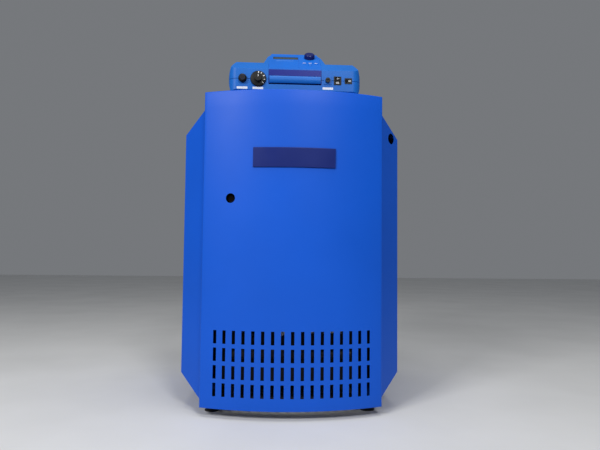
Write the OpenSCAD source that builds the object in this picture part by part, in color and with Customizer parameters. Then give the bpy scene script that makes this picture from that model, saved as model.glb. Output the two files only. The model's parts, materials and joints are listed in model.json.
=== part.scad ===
// Floor-standing atmospheric gas boiler with its burner assembly. Millimetres.
// +Z up, the front faces -Y, the origin lies on the floor under the middle of the box.
// Depths are first counted from the front panel's side edges; at_origin() shifts them.

/* [Casing] */
// Width over both side panels
casing_w = 600; // [580:1:640]
// Depth from the front panel's side edges to the rear panel
casing_d = 575; // [570:1:640]
// Height of the top covers above the floor
casing_h = 853; // [845:1:900]
// Height of the side panels' lowest edge above the floor
base_z = 39; // [34:1:48]
// Upper 45 degree bend, measured up and across
top_chamfer = 98; // [80:1:110]
// Lower 45 degree bend, measured up and across
low_chamfer = 60; // [45:1:70]
// Front corner facet, measured back and across
facet = 60; // [50:1:70]
// Thickness of the casing sheet
sheet = 1.2; // [0.8:0.1:1.6]
// Depth from the panel's side edges to the casing's front plane
front_y = 20; // [18:1:24]
// Diameter of the cable entry in the right facet
cable_hole_d = 30; // [20:1:34]
// Height of the cable entry above the floor
cable_hole_z = 752.8; // [640:0.1:755]

/* [Front panel] */
// How far the panel bows forward in the middle
panel_bow = 48; // [40:1:56]
// Height of the panel's lower edge above the floor
panel_lift = 24; // [18:1:34]
// How far the panel stands over the top cover
panel_over = 3; // [0:0.5:6]
// Slots in a row
slot_cols = 17; // [11:2:17]
// Rows of slots
slot_rows = 4; // [2:1:5]
// Width of a slot
slot_w = 9; // [6:0.5:12]
// Height of a slot
slot_h = 34.5; // [25:0.5:38]
// Distance from slot to slot along the curve
slot_pitch = 25.6; // [20:0.1:26]
// Distance from row to row
slot_row_pitch = 45; // [41:1:55]
// Height of the lowest row's middle above the panel's lower edge
slot_start = 50; // [40:1:70]
// Diameter of the opening in front of the reset button
reset_hole_d = 25.5; // [20:0.5:30]
// Place of the reset button to the side of the middle
reset_x = -166; // [-172:1:-150]
// Height of the reset button above the floor
reset_z = 569.5; // [540:0.5:600]
// Width of the name plate along the curve
badge_w = 216; // [150:1:260]
// Height of the name plate
badge_h = 52; // [40:1:70]
// Thickness of the name plate
badge_t = 4; // [2:0.5:6]
// Height of the name plate's middle above the floor
badge_z = 676; // [640:1:740]

/* [Control unit] */
// Width over the rounded ends
ctl_w = 372; // [356:1:390]
// How far the unit sits to the right of the middle
ctl_x = 3; // [0:1:8]
// Depth of the housing
ctl_d = 230; // [220:1:250]
// Distance of its front face behind the panel's side edges
ctl_y = 50; // [44:1:58]
// Height of the foot between top cover and housing
ctl_foot = 27; // [22:1:32]
// Height of the parting line above the top cover
ctl_part = 60; // [58:1:66]
// Height of the front face's upper edge above the top cover
ctl_face = 89; // [88:1:92]
// Height of the flat top above the top cover
ctl_top = 118; // [114:1:122]
// Slope of the sloped fronts, in degrees
ctl_slope = 40; // [38:1:44]
// Wall of the mouldings
ctl_wall = 2.5; // [2:0.1:3]
// Width of the display module
module_w = 148; // [146:1:154]
// Length of the display module's sloped face
module_len = 113; // [108:1:116]
// Length of the display window
window_w = 73; // [60:1:76]
// Height of the display window
window_h = 19; // [15:1:22]
// Diameter of the selector knob
knob_d = 31; // [24:1:32]
// Height of the selector knob
knob_h = 12; // [8:1:16]
// Diameter of the thermostat dial
dial_d = 44; // [36:1:46]
// Diameter of the limiter's cap
limiter_d = 23; // [18:1:26]
// Diameter of the fuse cap
fuse_d = 14; // [12:1:16]
// Tilt of a switched rocker, in degrees
rocker_tilt = 8; // [5:1:9]

/* [Boiler block] */
// Number of cast sections
sections = 4; // [3:1:4]
// Width of one section
section_w = 92; // [80:1:92]
// Space between the sections and the rear panel
block_rear = 30; // [26:1:45]
// Height of the sections
section_h = 428; // [400:1:430]
// Diameter of the hubs' inside
hub_d = 52; // [46:1:56]
// Thickness of the insulation
jacket_t = 22; // [16:1:22]
// Height of the flue collector
collector_h = 110; // [96:1:115]
// Outer diameter of the flue spigot
flue_d = 130; // [110:1:134]
// Length of the flue spigot
flue_len = 60; // [40:1:80]
// Depth of the draught diverter
diverter_d = 147; // [140:1:160]
// Outer diameter of the flow and return pipes
water_d = 33.7; // [26.9:0.1:33.7]
// Thread diameter at the flow and return pipe ends
water_thread_d = 33.25; // [26.4:0.05:33.4]

/* [Burner] */
// Height of the burner chamber
chamber_h = 223; // [210:1:240]
// Width of the burner chamber
chamber_w = 390; // [384:1:400]
// Number of burner tubes
tubes = 6; // [4:1:6]
// Distance from tube to tube
tube_pitch = 60; // [50:1:61]
// Space behind the burner tubes in the chamber
tube_rear = 49; // [45:1:90]
// Width of a burner tube
tube_w = 36; // [28:1:40]
// Outer diameter of the gas pipes
gas_d = 26.9; // [21.3:0.1:27.5]
// Thread diameter at the gas pipe's end
gas_thread_d = 26.4; // [20.9:0.05:26.4]
// Height of the burner tubes' axis above the floor
tube_z = 150; // [146:1:156]

/* [Feet and fits] */
// Diameter of a foot's plate
foot_d = 40; // [30:1:46]
// Diameter of a foot's stem
foot_stem_d = 10; // [8:1:12]
// Height of the base rails
rail_h = 25; // [18:1:26]
// Width of the base rails
rail_w = 40; // [34:1:46]
// Radial clearance of a shaft in its bore
fit = 0.05; // [0.02:0.01:0.1]
// Clearance between pieces that move past each other
gap = 0.3; // [0.2:0.05:0.6]

/* [Hidden] */
$fn = 64;

blue = [0.10, 0.37, 0.84];
pale_blue = [0.22, 0.48, 0.88];
dark_blue = [0.02, 0.12, 0.50];
navy = [0.12, 0.13, 0.42];
black = [0.10, 0.10, 0.11];
steel = [0.66, 0.67, 0.69];
iron = [0.30, 0.30, 0.32];
brass = [0.78, 0.62, 0.30];

// Casing outline, right half
half_w = casing_w / 2;
panel_half = half_w - facet;
top_half = half_w - top_chamfer;
diag = sqrt(2);
front_flange = 25;
frame_inset = 8;
bar_h = 73;
bar_flange = 40;
side_flange = 17;
rear_flange = 15;
panel_top = casing_h + panel_over;

// The panel's arc
bow_r = (panel_half * panel_half + panel_bow * panel_bow) / (2 * panel_bow);
bow_cy = bow_r - panel_bow;
bow_angle = asin(panel_half / bow_r);
panel_flange = 16;
stud_d = 8;
stud_len = 13;
stud_x = panel_half - front_flange / 2;
stud_zs = [base_z + 111, casing_h - top_chamfer - 35];

// Overall box along Y, and the shift to its middle
rear_y = casing_d + diverter_d;
mid_y = (rear_y - panel_bow - badge_t) / 2;

// Base
frame_half = panel_half - frame_inset;
frame_y0 = front_y + 25;
frame_y1 = casing_d - 30;
rail_t = 2;
foot_x = frame_half - rail_w / 2;
foot_ys = [frame_y0 + rail_w / 2, frame_y1 - rail_w / 2];

// Burner chamber and block, from the floor up
plate_y = 100;
plate_t = 2;
chamber_y0 = plate_y + plate_t;
block_z = base_z + chamber_h;
block_top = block_z + section_h;
block_y0 = chamber_y0 + 8;
block_y1 = casing_d - block_rear;
chamber_y1 = block_y1;
chamber_half = chamber_w / 2;
section_d = block_y1 - block_y0;
block_half = sections * section_w / 2;
end_x = block_half - section_w / 2;
jacket_in = block_half + 18;
jacket_out = jacket_in + jacket_t;
jacket_y0 = block_y0 - 2;
jacket_y1 = block_y1 + 2;
cock_y = jacket_y0 - jacket_t - 20;
hub_y = block_y1 - 70;
hub_low_z = block_z + 50;
hub_top_z = block_top - 50;
hub_wall = 16;
cast_wall = 8;
fins = 7;
fin_pitch = (section_d - 120) / fins;
fin_slot = 6;
rod_d = 10;
rod_places = [
  [block_y0 + 20, block_z + 28], [block_y0 + 20, block_top - 28],
  [block_y1 - 17, block_z + 128], [block_y1 - 17, block_top - 128]
];
port_len = 13;
port_z = block_z + 38;
water_wall = 3.2;
water_end = casing_d + 65;
water_thread = 25;
collector_half = block_half + 2;
duct_half = 140;
duct_z0 = block_top + 22;
duct_z1 = block_top + collector_h;
thin = 1.5;
diverter_half = 150;
diverter_z1 = duct_z1 + 80;
flue_y = casing_d + diverter_d / 2;

// Burner
tube_h = 44;
tube_wall = 1.5;
tube_y0 = plate_y + 6;
tube_len = chamber_y1 - tube_rear - tube_y0;
tube_slot_pitch = 24;
tube_slots = floor((tube_len - 75) / tube_slot_pitch);
tube_first = -(tubes - 1) * tube_pitch / 2;
manifold_y = 68;
manifold_end = 15;
manifold_bend = 25;
bracket_h = 20;
nozzle_out = 18;
pilot_x = -30;
sight_x = -105;
valve_w = 90;
valve_d = 60;
valve_h = 48;
valve_x = 95;
valve_z = block_z - plate_t - valve_h / 2 - 1;
gas_x = half_w - 55;
gas_bend = 30;
gas_wall = 2.6;
gas_end = casing_d + 65;
gas_thread = 20;
box_w = 92;
box_h = 60;
box_y0 = 38;
button_d = 16;
button_travel = 4;
plate_low = 60;

// Control unit, upwards from the top cover
ctl_z = casing_h;
part_z = ctl_z + ctl_part;
foot_top_z = ctl_z + ctl_foot;
face_z = ctl_z + ctl_face;
top_z = ctl_z + ctl_top;
ctl_edge = 3;
end_r = 95;
end_x0 = ctl_w / 2 - end_r;
slope_y = ctl_y;
slope_z = face_z + 2;
module_half = module_w / 2;
module_low = slope_z - 8;
module_back = slope_y + module_len * cos(ctl_slope) + 9;
module_top = slope_z + module_len * sin(ctl_slope);
hump_drop = 3;
hump_base = module_half + 16;
hump_mid = module_half + 4;
module_tip = module_half - 8;
bay_z0 = face_z - 43;
bay_d = 9;
flap_h = 20;
flap_z0 = bay_z0 + 4;
flap_half = module_half - 2;
flap_r = 16;
flap_t = 2.5;
band_z0 = flap_z0 + flap_h + 2 * gap;
hinge_y = ctl_y + 0.5;
hinge_z = flap_z0 + 1.5;
hinge_d = 2.4;
dial_x = -102.7;
limiter_x = -146.5;
fuse_x = 92;
mode_x = 119.5;
main_x = 150;
shaft_d = 6;
key_s = 44;
key_small_s = 31;
knob_x = 44;
key_pitch = 17;
knob_s = 86;
window_s = 72;
window_x0 = -62;
seam_x = 11;
key_w = 13;
key_h = 8;
key_small_w = 9;
key_small_h = 5;
cover_split = ctl_y + ctl_d + 20;
switch_flange = 1.5;
pin_depth = 4;
board_z = foot_top_z + 10;
board_half = 150;
board_y0 = ctl_y + 50;
board_y1 = ctl_y + ctl_d - 20;
board_t = 1.6;
plugs = 9;
plug_w = 24;
plug_pitch = 30;
plug_d = 16;
plug_h = 12;
trafo_w = 50;
trafo_d = 40;
trafo_h = 26;
relay_w = 18;
relay_d = 29;
relay_h = 15;

module at_origin() { translate([0, -mid_y, 0]) children(); }
module at_control() { translate([ctl_x, -mid_y, 0]) children(); }
module yz_extrude(x0, x1) {
  rotate([90, 0, 90]) translate([0, 0, x0]) linear_extrude(x1 - x0) children();
}
module xz_extrude(y0, y1) {
  rotate([90, 0, 0]) translate([0, 0, -y1]) linear_extrude(y1 - y0) children();
}
// A box from its low corner to its high corner
module block(low, high) { translate(low) cube(high - low); }
// A cylinder along Y from y0 to y1
module rod_y(x, z, y0, y1, d) {
  translate([x, y0, z]) rotate([-90, 0, 0]) cylinder(h = y1 - y0, d = d);
}
// A cylinder along X from x0 to x1
module rod_x(y, z, x0, x1, d) {
  translate([x0, y, z]) rotate([0, 90, 0]) cylinder(h = x1 - x0, d = d);
}
module rounded_rect(w, h, r) {
  square([w - 2 * r, h], center = true);
  square([w, h - 2 * r], center = true);
  for (x = [-1, 1], y = [-1, 1]) translate([x * (w / 2 - r), y * (h / 2 - r)]) circle(r);
}

// ---------- casing ----------

// Half outline seen from the front, inset by t, and its mirror image
function octagon_side(t) = let (k = t * (diag - 1)) [
  [half_w - low_chamfer - k, base_z + t],
  [half_w - t, base_z + low_chamfer + k],
  [half_w - t, casing_h - top_chamfer - k],
  [top_half - k, casing_h - t]
];
// Half outline seen from above
function plan_side(t) = let (k = t * (diag - 1)) [
  [panel_half - k, front_y + t],
  [half_w - t, front_y + facet + k],
  [half_w - t, casing_d - t]
];
function mirrored(side) = concat(side, [for (i = [len(side) - 1:-1:0])
  [-side[i][0], side[i][1]]]);

module casing_solid(t) {
  intersection() {
    xz_extrude(0, casing_d + 1) polygon(mirrored(octagon_side(t)));
    linear_extrude(casing_h + 1) polygon(mirrored(plan_side(t)));
  }
}

module screw_places() {
  for (x = [-1, 1], z = [base_z + 111, casing_h / 2, casing_h - top_chamfer - 55])
    translate([x * (half_w - sheet - rear_flange / 2), 0, z]) children();
}

module side_panel() {
  big = casing_w;
  difference() {
    union() {
      difference() {
        casing_solid(0);
        casing_solid(sheet);
        block([-big, -1, 0], [top_half, casing_d + 1, casing_h + 1]);
        block([-big, -1, 0], [panel_half - front_flange, casing_d + 1, casing_h - 20]);
        block([-big, casing_d - sheet, 0], [big, casing_d + 1, casing_h + 1]);
      }
      // flange that the top covers lie on
      block([top_half - side_flange, front_y + sheet, casing_h - 2 * sheet],
            [top_half + sheet, casing_d - 2 * sheet, casing_h - sheet]);
      // flange that the rear panel is screwed to
      intersection() {
        xz_extrude(casing_d - 2 * sheet, casing_d - sheet) difference() {
          polygon(mirrored(octagon_side(sheet)));
          polygon(mirrored(octagon_side(sheet + rear_flange)));
        }
        block([top_half, casing_d - 3 * sheet, 0], [half_w, casing_d, casing_h]);
      }
      for (z = stud_zs) rod_y(stud_x, z, front_y - stud_len, front_y + sheet / 2, stud_d);
    }
    screw_places() rod_y(0, 0, casing_d - 10, casing_d, 4.2);
  }
}

module side_panel_left() { color(blue) at_origin() mirror([1, 0, 0]) side_panel(); }
module side_panel_right() {
  u = (cable_hole_d / 2 + 10) / diag + 18.7;
  color(blue) at_origin() difference() {
    side_panel();
    translate([panel_half + u, front_y + u, cable_hole_z]) rotate([90, 0, 45])
      cylinder(h = 20, d = cable_hole_d, center = true);
  }
}

module rear_panel() {
  color(blue) at_origin() difference() {
    xz_extrude(casing_d - sheet, casing_d) polygon(mirrored(octagon_side(0.5)));
    block([-duct_half - 1, 0, duct_z0 - 1], [duct_half + 1, casing_d + 1, duct_z1 + 1]);
    rod_y(end_x, hub_top_z, 0, casing_d + 1, water_d + 6);
    rod_y(-end_x, hub_low_z, 0, casing_d + 1, water_d + 6);
    rod_y(gas_x, valve_z, 0, casing_d + 1, gas_d + 6);
    screw_places() rod_y(0, 0, casing_d - 10, casing_d + 1, 5.2);
  }
}

module top_cover(y0, y1, lip_y) {
  x = top_half - gap;
  block([-x, y0, casing_h - sheet], [x, y1, casing_h]);
  block([-x, lip_y, casing_h - 18], [x, lip_y + sheet, casing_h]);
}
module top_cover_front() {
  color(blue) at_origin() top_cover(front_y, cover_split, front_y);
}
module top_cover_rear() {
  color(blue) at_origin()
    top_cover(cover_split + gap, casing_d - sheet, casing_d - 2 * sheet);
}

module upper_crossbar() {
  y0 = front_y + sheet;
  top = casing_h - sheet;
  low = casing_h - bar_h;
  x = top_half - side_flange - gap;
  ear = panel_half - 8;
  ear_top = casing_h - (ear - top_half) - 8;
  color(steel) at_origin() {
    block([-x, y0, low], [x, y0 + sheet, top]);
    block([-ear, y0, low], [ear, y0 + sheet, ear_top]);
    block([-x, y0, top - sheet], [x, y0 + bar_flange, top]);
    block([-x, y0, low], [x, y0 + bar_flange / 2, low + sheet]);
  }
}

module casing_screws() {
  color(steel) at_origin() screw_places() {
    rod_y(0, 0, casing_d, casing_d + 2.5, 10);
    rod_y(0, 0, casing_d - 8, casing_d, 4);
  }
}

// ---------- front panel ----------

// Places children on the arc, with +X pointing out of the panel
module on_bow(angle, z) {
  translate([0, bow_cy, z]) rotate([0, 0, 270 + angle]) translate([bow_r, 0, 0]) children();
}

module front_panel() {
  step = slot_pitch / bow_r * 180 / PI;
  catch_w = front_flange - 4;
  spread = bow_angle + 1;
  deep = bow_r - panel_flange;
  r_in = bow_r - sheet;
  color(blue) at_origin() difference() {
    union() {
      // bowed sheet with its upper and lower returns
      intersection() {
        translate([0, bow_cy, 0]) rotate([0, 0, 270 - spread])
          rotate_extrude(angle = 2 * spread, $fn = 180) polygon([
            [bow_r, panel_lift], [bow_r, panel_top], [deep, panel_top],
            [deep, panel_top - sheet], [r_in, panel_top - sheet],
            [r_in, panel_lift + sheet], [deep, panel_lift + sheet], [deep, panel_lift]
          ]);
        block([-panel_half, -panel_bow - 1, 0], [panel_half, front_y - 1, panel_top + 1]);
      }
      // side returns and the catches that clip on the studs
      for (side = [0, 1]) mirror([side, 0, 0]) {
        block([panel_half - sheet, sheet / 2, panel_lift + sheet / 2],
              [panel_half, front_y - 1, panel_top - sheet / 2]);
        for (z = stud_zs)
          block([panel_half - catch_w, 5, z - 9], [panel_half - sheet / 2, front_y - 3, z + 9]);
      }
    }
    for (x = [-1, 1], z = stud_zs) rod_y(x * stud_x, z, 0, front_y, stud_d + 2 * fit);
    for (row = [0:slot_rows - 1], col = [0:slot_cols - 1])
      on_bow((col - (slot_cols - 1) / 2) * step,
             panel_lift + slot_start + row * slot_row_pitch)
        cube([4 * sheet, slot_w, slot_h], center = true);
    on_bow(asin(reset_x / bow_r), reset_z) rotate([0, 90, 0])
      cylinder(h = 6 * sheet, d = reset_hole_d, center = true);
  }
}

module badge_plate() {
  angle = badge_w / 2 / bow_r * 180 / PI;
  edge = 1;
  color(navy) at_origin() translate([0, bow_cy, badge_z]) rotate([0, 0, 270 - angle])
    rotate_extrude(angle = 2 * angle, $fn = 180) translate([bow_r + fit, 0]) polygon([
      [0, -badge_h / 2], [badge_t - edge, -badge_h / 2], [badge_t - fit, edge - badge_h / 2],
      [badge_t - fit, badge_h / 2 - edge], [badge_t - edge, badge_h / 2], [0, badge_h / 2]
    ]);
}

// ---------- base ----------

module base_frame() {
  z0 = base_z - rail_h;
  t = rail_t;
  color(black) at_origin() difference() {
    block([-frame_half, frame_y0, z0], [frame_half, frame_y1, base_z]);
    block([rail_w - frame_half, frame_y0 + rail_w, z0 - 1],
          [frame_half - rail_w, frame_y1 - rail_w, base_z + 1]);
    difference() {
      block([t - frame_half, frame_y0 + t, z0 - 1], [frame_half - t, frame_y1 - t, base_z - t]);
      block([rail_w - t - frame_half, frame_y0 + rail_w - t, z0 - 2],
            [frame_half - rail_w + t, frame_y1 - rail_w + t, base_z]);
    }
    for (x = [-foot_x, foot_x], y = foot_ys)
      translate([x, y, 0]) cylinder(h = base_z + 1, d = foot_stem_d + 2 * fit);
  }
}

module foot(x, y) {
  plate = 8;
  nut_z = base_z - rail_t - 7;
  color(black) at_origin() translate([x, y, 0]) {
    rotate_extrude() polygon([[0, 0], [foot_d / 2, 0], [foot_d / 2, 3],
      [foot_stem_d / 2 + 3, plate], [0, plate]]);
    cylinder(h = base_z - gap, d = foot_stem_d);
    translate([0, 0, nut_z]) cylinder(h = 7 - gap, r = foot_stem_d - 1, $fn = 6);
  }
}
module foot_front_left() { foot(-foot_x, foot_ys[0]); }
module foot_front_right() { foot(foot_x, foot_ys[0]); }
module foot_rear_left() { foot(-foot_x, foot_ys[1]); }
module foot_rear_right() { foot(foot_x, foot_ys[1]); }

// ---------- control unit ----------

// Side outline of the housing, inset by t
function ctl_profile(t) = let (a = ctl_slope, c = cos(a), g = tan(a)) [
  [ctl_y + ctl_edge + t / 2, foot_top_z + t], [ctl_y + t, foot_top_z + ctl_edge + t / 2],
  [ctl_y + t, face_z + t * g - t / c],
  [ctl_y + (ctl_top - ctl_face + t * (1 / c - 1)) / g, top_z - t],
  [ctl_y + ctl_d - 8 - t / 2, top_z - t], [ctl_y + ctl_d - t, top_z - 8 - t / 2],
  [ctl_y + ctl_d - t, foot_top_z + t]
];

module control_body(t) {
  r = 24;
  intersection() {
    yz_extrude(-ctl_w, ctl_w) polygon(ctl_profile(t));
    translate([0, ctl_y + ctl_d / 2, foot_top_z]) linear_extrude(ctl_top)
      rounded_rect(ctl_w - 2 * t, ctl_d - 2 * t, r - t);
    xz_extrude(0, ctl_y + ctl_d + 1) translate([0, part_z]) {
      square([2 * end_x0, 2 * (end_r - t)], center = true);
      for (x = [-end_x0, end_x0]) translate([x, 0]) circle(end_r - t, $fn = 120);
    }
  }
}

// Raised middle of the cover, behind and beside the display module
module hump(t) {
  g = tan(ctl_slope);
  low = slope_z - (hump_drop + t) / cos(ctl_slope);
  top = module_top - 5 - t;
  intersection() {
    yz_extrude(-hump_base, hump_base) polygon([
      [ctl_y + 12 + t, part_z + 10], [ctl_y + 12 + t, low + (12 + t) * g],
      [ctl_y + (top - low) / g, top], [ctl_y + ctl_d - 10, top - 8],
      [ctl_y + ctl_d - t, top - 16], [ctl_y + ctl_d - t, part_z + 10]
    ]);
    xz_extrude(0, ctl_y + ctl_d + 1) polygon(mirrored([
      [hump_base - t, part_z], [hump_base - t, top_z - 3],
      [hump_mid - t, module_top - 14], [hump_mid - 8 - t, module_top - 5]
    ]));
  }
}

// The display module's block, grown by c for its bay
module module_block(c) {
  intersection() {
    yz_extrude(-module_half - c, module_half + c) polygon([
      [slope_y - c, slope_z - 3 - c], [slope_y - c, slope_z + c],
      [module_back - 9, module_top + c], [module_back - 3, module_top + c],
      [module_back + c, module_top - 3 + c], [module_back + c, module_low - c],
      [slope_y + 8, module_low - c]
    ]);
    xz_extrude(0, module_back + 1) polygon(mirrored([
      [module_half + c, module_low - 1], [module_half + c, top_z],
      [module_tip + 2 + c, module_top - 4], [module_tip - 1 + c, module_top + 1]
    ]));
  }
}

module on_slope(x, s) {
  translate([0, slope_y, slope_z]) rotate([ctl_slope, 0, 0]) translate([x, s, 0]) children();
}

module face_holes() {
  y0 = ctl_y - 2;
  y1 = ctl_y + ctl_wall + 2;
  rod_y(dial_x, part_z, y0, y1, 12 + 2 * gap);
  rod_y(limiter_x, part_z, y0, y1, 10 + 2 * gap);
  rod_y(fuse_x, part_z, y0, y1, 13 + 2 * gap);
  block([mode_x - 9.5, y0, part_z - 10.8], [mode_x + 9.5, y1, part_z + 10.8]);
  block([main_x - 9.1, y0, part_z - 7], [main_x + 9.1, y1, part_z + 7]);
  block([-module_half - gap, y0, bay_z0], [module_half + gap, y1, slope_z]);
}

module control_shell(z0, z1) {
  difference() {
    intersection() {
      union() {
        control_body(0);
        hump(0);
      }
      block([-ctl_w, 0, z0], [ctl_w, ctl_y + ctl_d + 1, z1]);
    }
    control_body(ctl_wall);
    hump(ctl_wall);
    module_block(gap);
    face_holes();
  }
}

module control_base() {
  foot_x1 = ctl_w / 2 - 23;
  t = ctl_wall;
  color(pale_blue) at_control() {
    control_shell(foot_top_z - 1, part_z - fit);
    difference() {
      block([-foot_x1, ctl_y + 20, ctl_z], [foot_x1, ctl_y + ctl_d - 10, foot_top_z + t / 2]);
      block([t - foot_x1, ctl_y + 20 + t, ctl_z - 1],
            [foot_x1 - t, ctl_y + ctl_d - 10 - t, foot_top_z]);
    }
    for (x = [-board_half + 8, board_half - 8], y = [board_y0 + 8, board_y1 - 8])
      translate([x, y, foot_top_z + t / 2]) cylinder(h = board_z - foot_top_z - t / 2, d = 8);
  }
}
module control_cover() {
  color(pale_blue) at_control() control_shell(part_z + fit, module_top + 1);
}

module circuit_board() {
  color("seagreen") at_control() {
    block([-board_half, board_y0, board_z], [board_half, board_y1, board_z + board_t]);
    top = board_z + board_t;
    for (i = [0:plugs - 1]) translate([(i - (plugs - 1) / 2) * plug_pitch, board_y1 - plug_d, top])
      translate([-plug_w / 2, -plug_w / 3, 0]) cube([plug_w, plug_d, plug_h]);
    translate([-trafo_w * 1.2, board_y0 + trafo_d, top]) cube([trafo_w, trafo_d, trafo_h]);
    for (i = [0:2]) translate([relay_w * 1.1 + i * plug_pitch, board_y0 + trafo_d, top])
      cube([relay_w, relay_d, relay_h]);
  }
}

module display_module() {
  color(blue) at_control() difference() {
    module_block(0);
    on_slope(window_x0, window_s) translate([0, 0, -3]) cube([window_w, window_h, 10]);
    on_slope(knob_x, knob_s) translate([0, 0, -20]) cylinder(h = 30, d = shaft_d + 2 * fit);
    for (i = [-1:1]) on_slope(knob_x + i * key_pitch, key_s) key_form(key_w, key_h, gap, -8);
    on_slope(knob_x, key_small_s) key_form(key_small_w, key_small_h, gap, -8);
    on_slope(seam_x, 0) translate([-0.5, -4, -0.8]) cube([1, module_len + 4, 5]);
  }
}
// A key's block from low to 1 mm above the slope, grown by c
module key_form(w, h, c, low) {
  translate([0, 0, low]) linear_extrude(1 - low) rounded_rect(w + 2 * c, h + 2 * c, 1.5 + c);
}
module key(x, s, w, h) {
  color(pale_blue) at_control() on_slope(x, s) key_form(w, h, 0, -5);
}
module key_left() { key(knob_x - key_pitch, key_s, key_w, key_h); }
module key_middle() { key(knob_x, key_s, key_w, key_h); }
module key_right() { key(knob_x + key_pitch, key_s, key_w, key_h); }
module key_small() { key(knob_x, key_small_s, key_small_w, key_small_h); }

module display_window() {
  color(black) at_control() on_slope(window_x0, window_s) translate([gap, gap, -3])
    cube([window_w - 2 * gap, window_h - 2 * gap, 2.4]);
}

module selector_knob() {
  r = knob_d / 2;
  color(navy) at_control() on_slope(knob_x, knob_s) {
    difference() {
      translate([0, 0, gap]) rotate_extrude() polygon([[0, 0], [r, 0], [r - 0.6, knob_h - 2.5],
        [r - 3, knob_h], [0, knob_h - 0.6]]);
      for (i = [0:11]) rotate(i * 30) translate([r + 2.2, 0, 2])
        cylinder(h = knob_h, d = 6, $fn = 24);
    }
    translate([0, 0, -16]) cylinder(h = 17, d = shaft_d);
  }
}

module service_panel() {
  cheek = 1.5;
  x = module_half;
  color(dark_blue) at_control() difference() {
    union() {
      block([-x, ctl_y + bay_d - 2, bay_z0 + 1], [x, ctl_y + bay_d, module_low]);
      for (side = [0, 1]) mirror([side, 0, 0])
        block([x - cheek, ctl_y - 1.5, bay_z0 + 1.5], [x, ctl_y + bay_d - 1, module_low]);
      // band flush with the front, between flap and display module
      yz_extrude(-x, x) polygon([[ctl_y, band_z0], [ctl_y + bay_d, band_z0],
        [ctl_y + bay_d, module_low - gap], [ctl_y + 8, module_low - gap],
        [ctl_y, slope_z - 3 - gap]]);
    }
    rod_x(hinge_y, hinge_z, -x - 1, x + 1, hinge_d + 2 * fit);
    yz_extrude(-x - 1, x + 1) polygon([[ctl_y - 3, flap_z0 + 6], [ctl_y, flap_z0 + 6],
      [ctl_y, slope_z], [ctl_y - 3, slope_z]]);
  }
}

module module_flap() {
  cy = ctl_y - 4 + flap_r;
  cz = flap_z0 + flap_h / 2;
  color(pale_blue) at_control() {
    intersection() {
      difference() {
        rod_x(cy, cz, -flap_half, flap_half, 2 * flap_r);
        rod_x(cy, cz, -flap_half - 1, flap_half + 1, 2 * (flap_r - flap_t));
      }
      block([-flap_half, 0, flap_z0], [flap_half, ctl_y + 2, flap_z0 + flap_h]);
    }
    rod_x(hinge_y, hinge_z, -flap_half, flap_half, 3);
    rod_x(hinge_y, hinge_z, gap - module_half, module_half - gap, hinge_d);
  }
}

// Body behind the face, with a round neck through the face
module thermostat_body() {
  y0 = ctl_y + ctl_wall;
  color(black) at_control() difference() {
    union() {
      block([dial_x - 18, y0, part_z - 18], [dial_x + 18, y0 + 28, part_z + 18]);
      rod_y(dial_x, part_z, ctl_y, y0 + 1, 12);
    }
    rod_y(dial_x, part_z, 0, y0 + 22, shaft_d + 2 * fit);
  }
}
module thermostat_dial() {
  y1 = ctl_y - gap;
  color(black) at_control() {
    translate([dial_x, y1, part_z]) rotate([90, 0, 0]) rotate_extrude() polygon([
      [0, 0], [dial_d / 2, 0], [dial_d / 2, 3], [dial_d / 2 - 1.5, 4.5],
      [dial_d / 4, 6], [0, 6]]);
    difference() {
      rod_y(dial_x, part_z, y1 - 16, y1 - 5, dial_d / 2 - 2);
      for (x = [-1, 1]) translate([dial_x + x * (dial_d / 4 + 6), y1 - 12, part_z])
        cube([16, 12, 40], center = true);
    }
    rod_y(dial_x, part_z, y1 - 1, ctl_y + 20, shaft_d);
  }
}

module limiter_body() {
  y0 = ctl_y + ctl_wall;
  color(black) at_control() {
    rod_y(limiter_x, part_z, y0, y0 + 26, 24);
    rod_y(limiter_x, part_z, ctl_y - 8, y0 + 1, 10);
  }
}
module limiter_cap() {
  y1 = ctl_y - gap;
  r = limiter_d / 2;
  color(black) at_control() difference() {
    translate([limiter_x, y1, part_z]) rotate([90, 0, 0]) rotate_extrude() polygon([
      [0, 0], [r, 0], [r, 7], [r - 1.5, 10], [r - 4, 11.5], [0, 11.5]]);
    rod_y(limiter_x, part_z, ctl_y - 8 - gap, ctl_y, 10 + 2 * fit);
    for (i = [0:11]) translate([limiter_x, y1 - 8, part_z]) rotate([0, i * 30, 0])
      translate([r + 0.6, 0, 0]) rotate([90, 0, 0]) cylinder(h = 12, d = 3, center = true);
  }
}

module fuse_holder() {
  color(blue) at_control() difference() {
    union() {
      block([fuse_x - 11, ctl_y - switch_flange, part_z - 11.5], [fuse_x + 11, ctl_y, part_z + 11.5]);
      rod_y(fuse_x, part_z, ctl_y - 1, ctl_y + 34, 13);
    }
    rod_y(fuse_x, part_z, 0, ctl_y + 30, 10 + 2 * fit);
  }
}
module fuse_cap() {
  y1 = ctl_y - switch_flange - gap;
  color(black) at_control() difference() {
    union() {
      rod_y(fuse_x, part_z, y1 - 5, y1, fuse_d);
      rod_y(fuse_x, part_z, y1 - 1, ctl_y + 22, 10);
    }
    block([fuse_x - 5, y1 - 6, part_z - 0.8], [fuse_x + 5, y1 - 3.5, part_z + 0.8]);
  }
}

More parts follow.
